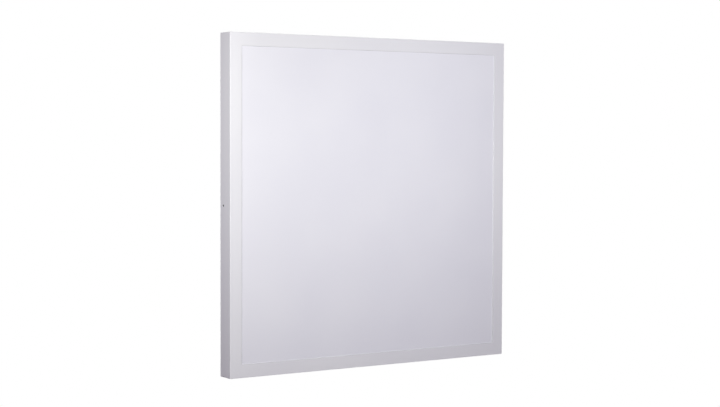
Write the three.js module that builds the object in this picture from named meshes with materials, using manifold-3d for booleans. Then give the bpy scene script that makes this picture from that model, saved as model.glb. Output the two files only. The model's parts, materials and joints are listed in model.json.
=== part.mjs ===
// Surface-mounted backlit LED panel, 600 x 600 mm.
// A pressed tray is screwed to a wall or ceiling and carries the LED strips, the driver and the supply terminal.
// A painted cover with the opal diffuser slides over the tray and is clamped to its flanges by two side screws.
// The wall face is the plane y = 0, the light shines towards -Y, and Z is up. Millimetres.
import * as THREE from "three";
import { mergeVertices } from "three/addons/utils/BufferGeometryUtils.js";
import Module from "manifold-3d";

// Whole panel
const PANEL = 600;
const DEPTH = 35;
const SHEET = 1;
const GAP = 0.3;
const HALF = PANEL / 2;
const FRONT = -DEPTH;

// Cover
const BEZEL_WIDTH = 23.5;
const LIP_DEPTH = 1.2;
const COVER_REAR = -0.5;
const EDGE_RADIUS = 0.6;
const CORNER_RADIUS = 1.5;
const WINDOW_HALF = HALF - BEZEL_WIDTH;
const COVER_INSIDE = HALF - SHEET;
const DIFFUSER_HALF = 288.5;
const DIFFUSER_THICK = 2;
const DIFFUSER_FRONT = FRONT + LIP_DEPTH + GAP;
const DIFFUSER_BACK = DIFFUSER_FRONT + DIFFUSER_THICK;
const RETAINER_INNER = 279;
const RETAINER_OUTER = COVER_INSIDE - 0.4;
const RETAINER_FRONT = DIFFUSER_BACK + GAP;
const RETAINER_SHEET = 1.2;
const RETAINER_REAR = -20;
const STUD_LINE = 292.5;
const STUD_SPREAD = 150;
const STUD_REAR = -26;
const NUT_RADIUS = 3.2;
const NUT_HEIGHT = 2.4;

// M3 fasteners share one shank and one clearance hole
const SHANK = 1.5;
const SHANK_HOLE = SHANK + GAP;
const HEAD = 2.8;
const HEAD_HEIGHT = 2;

// Side screws
const SIDE_SCREW_Y = -10.5;
const SIDE_SHANK = 1.25;
const SIDE_HOLE = SIDE_SHANK + GAP;
const SIDE_HEAD = 1.8;
const SIDE_RECESS_RADIUS = SIDE_HEAD + GAP;
const SIDE_RECESS_DEPTH = 1.2;
const DIMPLE_RADIUS = 3.5;
const DIMPLE_INNER = HALF - 2.2;
const SIDE_SCREW_TIP = HALF - 10;
const CLAMP_PLATE_THICK = 1.5;

// Base tray
const TRAY_HALF = COVER_INSIDE - 0.5;
const FLANGE_FRONT = -18;
const FLANGE_RELIEF = 3;
const FLANGE_SLOT_HALF = 5;
const FLANGE_SLOT_REAR = -5;
const FLOOR_FRONT = -SHEET;
const RAISE = 2;
const RAISED_FRONT = FLOOR_FRONT - RAISE;
const SEAT = RAISED_FRONT - GAP;
const RAISED_DISC = 6;
const CABLE_X = -185;
const CABLE_DISC = 18;
const CABLE_HOLE = 11;
const FIXING_X = 250;
const FIXING_Z = 180;
const FIXING_SLOT = [12, 6];

// LED strips
const STRIP_PITCH = 90;
const STRIP_COUNT = 6;
const STRIP_HALF_LENGTH = 270;
const STRIP_HALF_WIDTH = 8;
const STRIP_THICK = 1.5;
const STRIP_FRONT = SEAT - STRIP_THICK;
const LAND_MARGIN = 4;
const LED_COUNT = 6;
const LED_PITCH = 90;
const LENS_RADIUS = 7.5;
const LENS_HEIGHT = 6;
const RIVET_X = 180;
const PLUG_X = 262;
const PLUG_HALF = [4, 3.5];
const PLUG_HEIGHT = 4.5;

// Driver
const DRIVER_X0 = -15;
const DRIVER_X1 = 135;
const DRIVER_HALF_WIDTH = 21;
const DRIVER_HEIGHT = 16;
const DRIVER_WALL = 1.5;
const DRIVER_FRONT = SEAT - DRIVER_HEIGHT;
const EAR_LENGTH = 8;
const EAR_THICK = 1.5;

// Supply terminal with its release buttons
const BLOCK_X0 = -84;
const BLOCK_X1 = -56;
const BLOCK_HALF_WIDTH = 15;
const BLOCK_HEIGHT = 14;
const BLOCK_FRONT = SEAT - BLOCK_HEIGHT;
const POLE_PITCH = 9.5;
const WELL_X = -72;
const WELL_DEPTH = 8;
const BUTTON = [8, 5];
const BUTTON_PROUD = 2.2;
const BUTTON_LENGTH = 7.9;
const BLOCK_EAR = [-70, 19];

// Cord clamp, earth stud and leads
const CLAMP_X = -125;
const CLAMP_ARCH = 4.3;
const CLAMP_THICK = 2;
const CLAMP_FOOT_Z = 12;
const EARTH = [-100, 26];
const EARTH_STUD = 2;
const LEAD = 1.5;

const wasm = await Module();
wasm.setup();

// A closed three.js geometry as a solid that can be joined and cut.
function solid(geometry) {
  const bare = geometry.index ? geometry.toNonIndexed() : geometry.clone();
  bare.deleteAttribute("normal");
  bare.deleteAttribute("uv");
  const merged = mergeVertices(bare, 1e-4);
  const vertProperties = merged.attributes.position.array;
  const triVerts = new Uint32Array(merged.index.array);
  return new wasm.Manifold(new wasm.Mesh({ numProp: 3, vertProperties, triVerts }));
}

function geometryOf(body) {
  const mesh = body.getMesh();
  const geometry = new THREE.BufferGeometry();
  geometry.setAttribute("position", new THREE.BufferAttribute(mesh.vertProperties, 3));
  geometry.setIndex(new THREE.BufferAttribute(mesh.triVerts, 1));
  geometry.computeVertexNormals();
  return geometry;
}

// A box between two corners.
function block([x0, y0, z0], [x1, y1, z1]) {
  const box = new THREE.BoxGeometry(x1 - x0, y1 - y0, z1 - z0);
  box.translate((x0 + x1) / 2, (y0 + y1) / 2, (z0 + z1) / 2);
  return solid(box);
}

// A square plate about the Y axis.
function square(half, y0, y1) {
  return block([-half, y0, -half], [half, y1, half]);
}

// A round bar along Y, from y0 back to y1.
function barY([x, z], radius, y0, y1, sides = 20) {
  const bar = new THREE.CylinderGeometry(radius, radius, y1 - y0, sides);
  bar.translate(x, (y0 + y1) / 2, z);
  return solid(bar);
}

// A round bar along X.
function barX([y, z], radius, x0, x1, sides = 20) {
  const bar = new THREE.CylinderGeometry(radius, radius, Math.abs(x1 - x0), sides);
  bar.rotateZ(Math.PI / 2);
  bar.translate((x0 + x1) / 2, y, z);
  return solid(bar);
}

function joined(bodies) {
  return bodies.reduce((whole, body) => whole.add(body));
}

function cut(body, tools) {
  return tools.reduce((rest, tool) => rest.subtract(tool), body);
}

// The same body turned about Y by quarter turns: 0 is the right side, then the bottom, left and top.
function turned(geometry, quarter) {
  return geometry.rotateY((quarter * Math.PI) / 2);
}

const sides = [-1, 1];
const poles = [-POLE_PITCH, 0, POLE_PITCH];
const stripRows = Array.from({ length: STRIP_COUNT }, (_, i) => (i - (STRIP_COUNT - 1) / 2) * STRIP_PITCH);
const ledColumns = Array.from({ length: LED_COUNT }, (_, i) => (i - (LED_COUNT - 1) / 2) * LED_PITCH);
const studs = [];
for (const side of sides) {
  for (const along of [-STUD_SPREAD, STUD_SPREAD]) {
    studs.push([side * STUD_LINE, along], [along, side * STUD_LINE]);
  }
}

// ---- Cover ----

// The outer skin: a square with rounded corners and a rounded front edge.
function coverSkin() {
  const flat = HALF - CORNER_RADIUS;
  const outline = new THREE.Shape();
  const radius = CORNER_RADIUS - EDGE_RADIUS;
  outline.absarc(flat, flat, radius, 0, Math.PI / 2);
  outline.absarc(-flat, flat, radius, Math.PI / 2, Math.PI);
  outline.absarc(-flat, -flat, radius, Math.PI, 1.5 * Math.PI);
  outline.absarc(flat, -flat, radius, 1.5 * Math.PI, 2 * Math.PI);
  const skin = new THREE.ExtrudeGeometry(outline, {
    depth: DEPTH,
    curveSegments: 4,
    bevelThickness: EDGE_RADIUS,
    bevelSize: EDGE_RADIUS,
    bevelSegments: 3,
  });
  skin.rotateX(Math.PI / 2);
  skin.translate(0, EDGE_RADIUS, 0);
  return solid(skin).subtract(square(HALF + 1, COVER_REAR, DEPTH));
}

function coverFrame() {
  const hollow = square(COVER_INSIDE, FRONT + SHEET, 1);
  const windowCut = square(WINDOW_HALF, FRONT - 1, 1);
  const lip = square(WINDOW_HALF + SHEET, FRONT + SHEET / 2, FRONT + LIP_DEPTH).subtract(windowCut);
  const shell = cut(coverSkin(), [hollow, windowCut]).add(lip);
  const pins = studs.map((at) => barY(at, SHANK, FRONT + SHEET / 2, STUD_REAR, 12));
  const dimples = sides.map((side) =>
    barX([SIDE_SCREW_Y, 0], DIMPLE_RADIUS, side * (HALF - SHEET / 2), side * DIMPLE_INNER),
  );
  const recesses = sides.map((side) =>
    barX([SIDE_SCREW_Y, 0], SIDE_RECESS_RADIUS, side * (HALF + 1), side * (HALF - SIDE_RECESS_DEPTH)),
  );
  const holes = sides.map((side) => barX([SIDE_SCREW_Y, 0], SIDE_HOLE, side * (HALF + 1), side * (HALF - 5)));
  return cut(joined([shell, ...pins, ...dimples]), [...recesses, ...holes]);
}

function diffuser() {
  return square(DIFFUSER_HALF, DIFFUSER_FRONT, DIFFUSER_BACK);
}

// Foam that fills the edge between bezel and retainers and keeps light in.
function edgeSeal() {
  const front = FRONT + SHEET + GAP;
  const rear = RETAINER_FRONT - GAP;
  const ring = square(RETAINER_OUTER, front, rear).subtract(square(DIFFUSER_HALF + GAP, front - 1, rear + 1));
  return cut(ring, studs.map((at) => barY(at, SHANK_HOLE, front - 1, rear + 1, 12)));
}

// An angle that presses the diffuser's edge forward. Side ones stop short of the top and bottom ones.
function retainer(isLong) {
  const length = isLong ? RETAINER_OUTER : RETAINER_INNER - GAP;
  const footRear = RETAINER_FRONT + RETAINER_SHEET;
  const foot = block([RETAINER_INNER, RETAINER_FRONT, -length], [RETAINER_OUTER, footRear, length]);
  const legInner = RETAINER_OUTER - RETAINER_SHEET;
  const leg = block([legInner, RETAINER_FRONT, -length], [RETAINER_OUTER, RETAINER_REAR, length]);
  const holes = [-STUD_SPREAD, STUD_SPREAD].map((z) =>
    barY([STUD_LINE, z], SHANK_HOLE, RETAINER_FRONT - 1, footRear + 1, 12),
  );
  return cut(foot.add(leg), holes);
}

function hexNut(at, radius, hole, y0, height) {
  return barY(at, radius, y0, y0 + height, 6).subtract(barY(at, hole, y0 - 1, y0 + height + 1, 12));
}

// The threaded plate behind the tray flange that the side screw draws outwards.
function clampPlate(side) {
  const outer = TRAY_HALF - SHEET - GAP;
  const inner = outer - CLAMP_PLATE_THICK;
  const low = [Math.min(side * inner, side * outer), SIDE_SCREW_Y - 4.5, -8];
  const high = [Math.max(side * inner, side * outer), SIDE_SCREW_Y + 4.5, 8];
  const collar = barX([SIDE_SCREW_Y, 0], NUT_RADIUS, side * (inner + 0.5), side * (inner - 2));
  const hole = barX([SIDE_SCREW_Y, 0], SIDE_HOLE, side * (outer + 1), side * (inner - 3));
  return block(low, high).add(collar).subtract(hole);
}

// A flush flat-head screw with a cross recess.
function sideScrew(side) {
  const seat = HALF - SIDE_RECESS_DEPTH + GAP;
  const face = HALF - 0.1;
  const head = barX([SIDE_SCREW_Y, 0], SIDE_HEAD, side * seat, side * face);
  const shank = barX([SIDE_SCREW_Y, 0], SIDE_SHANK, side * SIDE_SCREW_TIP, side * (seat + 0.2), 16);
  const [x0, x1] = [side * (face - 0.6), side * (face + 1)].sort((a, b) => a - b);
  const slots = [
    block([x0, SIDE_SCREW_Y - 1.2, -0.25], [x1, SIDE_SCREW_Y + 1.2, 0.25]),
    block([x0, SIDE_SCREW_Y - 0.25, -1.2], [x1, SIDE_SCREW_Y + 0.25, 1.2]),
  ];
  return cut(head.add(shank), slots);
}

// ---- Base ----

// Four flanges bent forward from the floor, with the corners relieved.
function trayFlanges() {
  const reach = TRAY_HALF - FLANGE_RELIEF;
  return [0, 1, 2, 3].map((quarter) => {
    const flange = new THREE.BoxGeometry(SHEET, -FLANGE_FRONT, 2 * reach);
    flange.translate(TRAY_HALF - SHEET / 2, FLANGE_FRONT / 2, 0);
    return solid(turned(flange, quarter));
  });
}

// A pressed disc, raised towards the room and hollow behind, with a hole through it.
function raisedDisc(at, radius, hole) {
  return {
    add: barY(at, radius, RAISED_FRONT, FLOOR_FRONT + 0.2, 24),
    cuts: [
      barY(at, radius - SHEET, RAISED_FRONT + SHEET, 1, 24),
      barY(at, hole, RAISED_FRONT - 1, 1, 24),
    ],
  };
}

// A pressed land under each LED strip, also hollow behind.
function stripLand(z) {
  const [x, w] = [STRIP_HALF_LENGTH + LAND_MARGIN, STRIP_HALF_WIDTH + LAND_MARGIN];
  const rear = RAISED_FRONT + SHEET;
  return {
    add: block([-x, RAISED_FRONT, z - w], [x, FLOOR_FRONT + 0.2, z + w]),
    cuts: [
      block([-x + SHEET, rear, z - w + SHEET], [x - SHEET, 1, z + w - SHEET]),
      ...sides.map((side) => barY([side * RIVET_X, z], SHANK_HOLE, RAISED_FRONT - 1, 1, 12)),
    ],
  };
}

function fixingSlots() {
  const [length, width] = FIXING_SLOT;
  const reach = (length - width) / 2;
  const slots = [];
  for (const x of [-FIXING_X, FIXING_X]) {
    for (const z of [-FIXING_Z, FIXING_Z]) {
      const ends = [-reach, reach].map((dx) => barY([x + dx, z], width / 2, -SHEET - 1, 1, 16));
      const middle = block([x - reach, -SHEET - 1, z - width / 2], [x + reach, 1, z + width / 2]);
      slots.push(joined([middle, ...ends]));
    }
  }
  return slots;
}

const driverScrews = [DRIVER_X0 - EAR_LENGTH / 2, DRIVER_X1 + EAR_LENGTH / 2].map((x) => [x, 0]);
const baseScrews = { driver_screw_1: driverScrews[0], driver_screw_2: driverScrews[1] };
baseScrews.terminal_screw = BLOCK_EAR;
baseScrews.cord_clamp_screw = [CLAMP_X, CLAMP_FOOT_Z];

function baseTray() {
  const pressed = [
    ...stripRows.map(stripLand),
    ...Object.values(baseScrews).map((at) => raisedDisc(at, RAISED_DISC, SHANK_HOLE)),
    raisedDisc([CABLE_X, 0], CABLE_DISC, CABLE_HOLE),
  ];
  const floor = square(TRAY_HALF, FLOOR_FRONT, 0);
  const stud = barY(EARTH, EARTH_STUD, -12, FLOOR_FRONT + 0.2, 16);
  const whole = joined([floor, ...trayFlanges(), ...pressed.map((item) => item.add), stud]);
  const flangeSlots = sides.map((side) => {
    const [x0, x1] = [side * (TRAY_HALF - 3), side * (TRAY_HALF + 1)].sort((a, b) => a - b);
    return block([x0, FLANGE_FRONT - 1, -FLANGE_SLOT_HALF], [x1, FLANGE_SLOT_REAR, FLANGE_SLOT_HALF]);
  });
  return cut(whole, [...pressed.flatMap((item) => item.cuts), ...flangeSlots, ...fixingSlots()]);
}

// The rubber grommet: two flanges that grip the sheet around the cable hole.
function grommet() {
  const bore = 6;
  const flange = 14;
  const neck = CABLE_HOLE - GAP;
  const rear = RAISED_FRONT + SHEET + GAP;
  const points = [
    [bore, rear + 1.5],
    [bore, SEAT - 2],
    [flange - 1, SEAT - 2],
    [flange, SEAT - 1],
    [flange, SEAT],
    [neck, SEAT],
    [neck, rear],
    [flange, rear],
    [flange, rear + 1.5],
    [bore, rear + 1.5],
  ].map(([r, y]) => new THREE.Vector2(r, y));
  const ring = new THREE.LatheGeometry(points, 24);
  ring.translate(CABLE_X, 0, 0);
  return solid(ring);
}

function screw(at) {
  const under = SEAT - EAR_THICK - GAP;
  const head = barY(at, HEAD, under - HEAD_HEIGHT, under, 16);
  return head.add(barY(at, SHANK, under - 0.2, -0.5, 12));
}

// An aluminium strip board with its LEDs under lenses and the plug sockets at one end.
function ledStrip(z) {
  const [x, w] = [STRIP_HALF_LENGTH, STRIP_HALF_WIDTH];
  const board = block([-x, STRIP_FRONT, z - w], [x, SEAT, z + w]);
  const profile = [
    [0, 0],
    [LENS_RADIUS, 0],
    [LENS_RADIUS, 1.5],
    [LENS_RADIUS * 0.87, LENS_HEIGHT * 0.67],
    [LENS_RADIUS * 0.5, LENS_HEIGHT],
    [0, LENS_HEIGHT * 0.9],
  ].map(([r, h]) => new THREE.Vector2(r, h));
  const lenses = ledColumns.map((column) => {
    const lens = new THREE.LatheGeometry(profile, 12);
    lens.rotateX(Math.PI);
    lens.translate(column, STRIP_FRONT + 0.2, z);
    return solid(lens);
  });
  const socket = block(
    [PLUG_X - PLUG_HALF[0], STRIP_FRONT - PLUG_HEIGHT, z - PLUG_HALF[1]],
    [PLUG_X + PLUG_HALF[0], STRIP_FRONT + 0.2, z + PLUG_HALF[1]],
  );
  const holes = sides.map((side) => barY([side * RIVET_X, z], SHANK_HOLE, STRIP_FRONT - 1, SEAT + 1, 12));
  return cut(joined([board, ...lenses, socket]), holes);
}

function rivet(at) {
  const under = STRIP_FRONT - GAP;
  return barY(at, HEAD, under - 1.2, under, 16).add(barY(at, SHANK, under - 0.2, -0.6, 12));
}

// A lead is a round tube along a smooth curve through its points.
function lead(points, radius, steps) {
  const path = new THREE.CatmullRomCurve3(points.map((point) => new THREE.Vector3(...point)));
  const section = new THREE.Shape();
  section.absarc(0, 0, radius, 0, 2 * Math.PI);
  return solid(new THREE.ExtrudeGeometry(section, { steps, curveSegments: 4, extrudePath: path }));
}

// A jumper from the socket of one strip to the next one up.
function jumper(z) {
  const low = z + PLUG_HALF[1] + GAP;
  const high = z + STRIP_PITCH - PLUG_HALF[1] - GAP;
  const y = STRIP_FRONT - PLUG_HEIGHT / 2;
  const bow = PLUG_X + 4;
  return lead(
    [[PLUG_X, y, low], [PLUG_X, y, low + 6], [bow, y, (low + high) / 2], [PLUG_X, y, high - 6], [PLUG_X, y, high]],
    LEAD,
    20,
  );
}

function driverCase() {
  const w = DRIVER_HALF_WIDTH;
  const shell = block([DRIVER_X0, DRIVER_FRONT, -w], [DRIVER_X1, SEAT, w]);
  const hollow = block(
    [DRIVER_X0 + DRIVER_WALL, DRIVER_FRONT - 1, -w + DRIVER_WALL],
    [DRIVER_X1 - DRIVER_WALL, SEAT - DRIVER_WALL, w - DRIVER_WALL],
  );
  const ears = block(
    [DRIVER_X0 - EAR_LENGTH, SEAT - EAR_THICK, -8],
    [DRIVER_X1 + EAR_LENGTH, SEAT, 8],
  );
  const holes = driverScrews.map((at) => barY(at, SHANK_HOLE, SEAT - EAR_THICK - 1, SEAT + 1, 12));
  return cut(shell.add(ears), [hollow, ...holes]);
}

function driverLid() {
  const w = DRIVER_HALF_WIDTH;
  const under = DRIVER_FRONT - GAP;
  const inset = DRIVER_WALL + GAP;
  const plate = block([DRIVER_X0, under - DRIVER_WALL, -w], [DRIVER_X1, under, w]);
  const rim = block([DRIVER_X0 + inset, under - 0.5, -w + inset], [DRIVER_X1 - inset, under + 2, w - inset]);
  const rimHollow = block(
    [DRIVER_X0 + inset + 1, under, -w + inset + 1],
    [DRIVER_X1 - inset - 1, under + 3, w - inset - 1],
  );
  const vents = [-1, 0, 1].flatMap((row) =>
    Array.from({ length: 8 }, (_, i) => {
      const x = DRIVER_X0 + 20 + i * 15;
      return block([x, under - 3, row * 11 - 1.2], [x + 9, under + 3, row * 11 + 1.2]);
    }),
  );
  return cut(plate.add(rim.subtract(rimHollow)), vents);
}

// The driver's circuit board with its transformer, choke, capacitors and heat sink.
function driverBoard() {
  const inset = DRIVER_WALL + 2;
  const w = DRIVER_HALF_WIDTH - inset;
  const rear = SEAT - DRIVER_WALL - 2;
  const face = rear - 1.6;
  const board = block([DRIVER_X0 + inset, face, -w], [DRIVER_X1 - inset, rear, w]);
  const boxes = [
    [50, 0, 11, 10, 8],
    [18, 3, 6, 8, 6],
    [92, -6, 9, 4, 7.5],
    [112, 4, 5, 9, 5],
  ].map(([x, z, dx, dz, height]) => block([x - dx, face - height, z - dz], [x + dx, face + 0.2, z + dz]));
  const cans = [
    [30, 10, 5],
    [75, 9, 6],
    [75, -8, 4],
  ].map(([x, z, radius]) => barY([x, z], radius, face - 8, face + 0.2, 16));
  return joined([board, ...boxes, ...cans]);
}

function terminalBlock() {
  const w = BLOCK_HALF_WIDTH;
  const [earX, earZ] = BLOCK_EAR;
  const body = block([BLOCK_X0, BLOCK_FRONT, -w], [BLOCK_X1, SEAT, w]);
  const ear = block([earX - 5, SEAT - EAR_THICK, w - 1], [earX + 5, SEAT, earZ + 5]);
  const [bx, bz] = BUTTON.map((size) => size / 2 + GAP);
  const wells = poles.map((z) =>
    block([WELL_X - bx, BLOCK_FRONT - 1, z - bz], [WELL_X + bx, BLOCK_FRONT + WELL_DEPTH, z + bz]),
  );
  const entries = poles.map((z) => barX([SEAT - 4, z], 1.8, BLOCK_X0 - 1, BLOCK_X0 + 10, 12));
  const exits = poles.map((z) => barX([SEAT - 4, z], 1.4, BLOCK_X1 - 10, BLOCK_X1 + 1, 12));
  const hole = barY(BLOCK_EAR, SHANK_HOLE, SEAT - EAR_THICK - 1, SEAT + 1, 12);
  return cut(body.add(ear), [...wells, ...entries, ...exits, hole]);
}

// A release button with a screwdriver notch across its top.
function releaseButton(z) {
  const [bx, bz] = BUTTON.map((size) => size / 2);
  const top = BLOCK_FRONT - BUTTON_PROUD;
  const body = block([WELL_X - bx, top, z - bz], [WELL_X + bx, top + BUTTON_LENGTH, z + bz]);
  return body.subtract(block([WELL_X - 2, top - 1, z - 0.5], [WELL_X + 2, top + 0.8, z + 0.5]));
}

// A saddle over the supply cable, screwed down on one foot and hooked on the other.
function cordClamp() {
  const outer = CLAMP_ARCH + CLAMP_THICK;
  const reach = CLAMP_FOOT_Z + 5;
  const footTop = -(SEAT - EAR_THICK);
  const footBottom = -SEAT;
  const crown = 6.5;
  const outline = new THREE.Shape();
  outline.moveTo(-reach, footBottom);
  outline.lineTo(-CLAMP_ARCH, footBottom);
  outline.lineTo(-CLAMP_ARCH, crown);
  outline.absarc(0, crown, CLAMP_ARCH, Math.PI, 0, true);
  outline.lineTo(CLAMP_ARCH, footBottom);
  outline.lineTo(reach, footBottom);
  outline.lineTo(reach, footTop);
  outline.lineTo(outer, footTop);
  outline.lineTo(outer, crown);
  outline.absarc(0, crown, outer, 0, Math.PI);
  outline.lineTo(-outer, footTop);
  outline.lineTo(-reach, footTop);
  outline.closePath();
  const saddle = new THREE.ExtrudeGeometry(outline, { depth: 10, curveSegments: 8, bevelEnabled: false });
  // The outline's x becomes the row's z, and its height becomes -y.
  const turn = new THREE.Matrix4().set(0, 0, 1, CLAMP_X - 5, 0, -1, 0, 0, 1, 0, 0, 0, 0, 0, 0, 1);
  saddle.applyMatrix4(turn);
  const hole = barY([CLAMP_X, CLAMP_FOOT_Z], SHANK_HOLE, SEAT - EAR_THICK - 1, SEAT + 1, 12);
  return solid(saddle).subtract(hole);
}

// Earth lead: a ring lug on the stud and a lead up to the terminal's side.
function earthLead() {
  const [x, z] = EARTH;
  const seat = FLOOR_FRONT - GAP;
  const lug = barY(EARTH, 4, seat - 0.8, seat, 16);
  const tongue = block([x + 2, seat - 0.8, z - 1.5], [x + 11, seat, z + 1.5]);
  const wire = lead(
    [
      [x + 8, seat - 1.2, z],
      [x + 15, seat - 2, z + 1],
      [x + 30, seat - 8, z + 2],
      [x + 37, seat - 8, z - 2],
      [x + 38, seat - 8, BLOCK_HALF_WIDTH + GAP],
    ],
    LEAD,
    20,
  );
  return joined([lug, tongue, wire]).subtract(barY(EARTH, EARTH_STUD + GAP, seat - 3, seat + 1, 16));
}

function earthNut() {
  return hexNut(EARTH, 4, EARTH_STUD + GAP, FLOOR_FRONT - 2 * GAP - 0.8 - 3.2, 3.2);
}

// Two-core lead from the terminal to the driver.
function mainsLead() {
  return lead(
    [
      [BLOCK_X1 + GAP, SEAT - 5, 0],
      [BLOCK_X1 + 8, SEAT - 5.5, 1],
      [BLOCK_X1 + 24, SEAT - 9, 8],
      [DRIVER_X0 - 8, SEAT - 9, 10],
      [DRIVER_X0 - GAP, SEAT - 9, 10],
    ],
    1.8,
    20,
  );
}

// Two-core lead from the driver to the nearest strip socket.
function outputLead() {
  const z = stripRows[2];
  const y = STRIP_FRONT - PLUG_HEIGHT / 2;
  return lead(
    [
      [DRIVER_X1 + GAP, SEAT - 9, -10],
      [DRIVER_X1 + 12, SEAT - 9, -10],
      [190, SEAT - 5, -24],
      [232, SEAT - 6, -29],
      [250, y - 1, z + 1],
      [PLUG_X - PLUG_HALF[0] - GAP, y, z],
    ],
    LEAD,
    32,
  );
}

// ---- Materials ----

function finish(color, roughness, metalness = 0) {
  return { color, roughness, metalness };
}

const WHITE_PAINT = finish(0xe9e8ec, 0.45);
const TRAY_PAINT = finish(0xf0f0ee, 0.5);
const OPAL = finish(0xe3e2ea, 0.3);
const FOAM = finish(0xf4f4f2, 0.9);
const ZINC = finish(0xb9bcc0, 0.35, 1);
const BLACK_OXIDE = finish(0x2b2b2d, 0.45, 1);
const BOARD = finish(0xf1f2ee, 0.5);
const NYLON = finish(0xe8e6df, 0.5);
const WHITE_PLASTIC = finish(0xecebe6, 0.5);
const BUTTON_PLASTIC = finish(0xe07a2c, 0.45);
const RUBBER = finish(0x2a2a2b, 0.75);
const CIRCUIT = finish(0x2f6b46, 0.5);
const EARTH_PVC = finish(0x6fae3a, 0.5);
const LEAD_PVC = finish(0xd8d8d6, 0.5);

const panel = new THREE.Group();

function place(name, body, look) {
  const mesh = new THREE.Mesh(geometryOf(body), new THREE.MeshStandardMaterial(look));
  mesh.name = name;
  panel.add(mesh);
  return mesh;
}

// The cover and what travels with it
place("cover_frame", coverFrame(), WHITE_PAINT);
place("diffuser", diffuser(), OPAL);
place("edge_seal", edgeSeal(), FOAM);
["right", "bottom", "left", "top"].forEach((side, quarter) => {
  const mesh = place("retainer_" + side, retainer(quarter % 2 === 1), ZINC);
  mesh.rotation.y = (quarter * Math.PI) / 2;
});
studs.forEach((at, i) => {
  const seat = RETAINER_FRONT + RETAINER_SHEET + GAP;
  place("retainer_nut_" + (i + 1), hexNut(at, NUT_RADIUS, SHANK_HOLE, seat, NUT_HEIGHT), ZINC);
});
sides.forEach((side) => {
  const name = side < 0 ? "left" : "right";
  place("clamp_plate_" + name, clampPlate(side), ZINC);
  place("side_screw_" + name, sideScrew(side), BLACK_OXIDE);
});

// The base that stays on the wall
place("base_tray", baseTray(), TRAY_PAINT);
place("cable_grommet", grommet(), RUBBER);
stripRows.forEach((z, i) => {
  place("led_strip_" + (i + 1), ledStrip(z), BOARD);
  place("strip_rivet_" + (2 * i + 1), rivet([-RIVET_X, z]), NYLON);
  place("strip_rivet_" + (2 * i + 2), rivet([RIVET_X, z]), NYLON);
});
stripRows.slice(0, -1).forEach((z, i) => place("strip_jumper_" + (i + 1), jumper(z), LEAD_PVC));
place("driver_case", driverCase(), WHITE_PLASTIC);
place("driver_board", driverBoard(), CIRCUIT);
place("driver_lid", driverLid(), WHITE_PLASTIC);
place("terminal_block", terminalBlock(), WHITE_PLASTIC);
poles.forEach((z, i) => place("release_button_" + (i + 1), releaseButton(z), BUTTON_PLASTIC));
place("cord_clamp", cordClamp(), NYLON);
place("earth_nut", earthNut(), ZINC);
place("earth_lead", earthLead(), EARTH_PVC);
place("mains_lead", mainsLead(), LEAD_PVC);
place("output_lead", outputLead(), LEAD_PVC);
Object.entries(baseScrews).forEach(([name, at]) => place(name, screw(at), ZINC));

export default panel;
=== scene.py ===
"""Surface-mounted LED panel light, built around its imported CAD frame.

The wall face is the plane y = 0 and the light faces -Y, towards the room. All lengths are metres, and MM
turns millimetres into metres. The outlines below are (radius, height) or (radius, depth) in millimetres.
"""

import json
import math

import bmesh
import bpy
from mathutils import Matrix, Vector


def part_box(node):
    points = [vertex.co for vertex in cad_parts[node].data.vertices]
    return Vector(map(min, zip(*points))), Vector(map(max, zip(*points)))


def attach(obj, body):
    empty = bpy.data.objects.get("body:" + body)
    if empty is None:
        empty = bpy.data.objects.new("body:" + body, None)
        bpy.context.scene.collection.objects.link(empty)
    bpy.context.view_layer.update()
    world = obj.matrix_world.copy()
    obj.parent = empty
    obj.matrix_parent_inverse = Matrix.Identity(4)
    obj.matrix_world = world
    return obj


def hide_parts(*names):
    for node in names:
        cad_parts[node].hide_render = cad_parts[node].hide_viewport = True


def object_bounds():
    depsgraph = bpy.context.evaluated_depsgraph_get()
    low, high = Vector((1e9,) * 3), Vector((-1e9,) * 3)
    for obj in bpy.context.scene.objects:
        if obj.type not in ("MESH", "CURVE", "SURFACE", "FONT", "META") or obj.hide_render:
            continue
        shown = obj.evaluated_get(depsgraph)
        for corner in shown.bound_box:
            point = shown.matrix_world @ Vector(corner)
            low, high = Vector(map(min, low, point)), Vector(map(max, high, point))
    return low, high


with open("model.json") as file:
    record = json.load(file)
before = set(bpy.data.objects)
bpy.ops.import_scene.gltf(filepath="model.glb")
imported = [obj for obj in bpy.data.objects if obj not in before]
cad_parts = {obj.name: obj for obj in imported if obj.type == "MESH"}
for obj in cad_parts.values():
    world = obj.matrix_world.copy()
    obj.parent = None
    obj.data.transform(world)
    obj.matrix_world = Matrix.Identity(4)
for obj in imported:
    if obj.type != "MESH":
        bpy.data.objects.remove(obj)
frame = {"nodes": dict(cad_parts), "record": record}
cad_low, cad_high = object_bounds()
slot_of = {part["node"]: part["material_slot"] for part in frame["record"]["subparts"]}
body_of = {node: body for body, nodes in frame["record"]["behaviour"]["bodies"].items() for node in nodes}

MM = 0.001
MERGE_DISTANCE = 0.001 * MM

# The two planes that flat outlines lie in, as (across, up): seen from the room, and seen from the wall
ROOM_PLANE = ((1, 0, 0), (0, 0, 1))
WALL_PLANE = ((1, 0, 0), (0, 0, -1))
ROOMWARD = (0, -1, 0)

# Cover
BEZEL_WIDTH = 23.5 * MM
LIP_DEPTH = 1.2 * MM
SHEET = 1 * MM
CORNER_RADIUS = 1.5 * MM
FRONT_RADIUS = 0.6 * MM
WINDOW_RADIUS = 0.5 * MM
WINDOW_CORNER = 0.4 * MM

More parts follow.
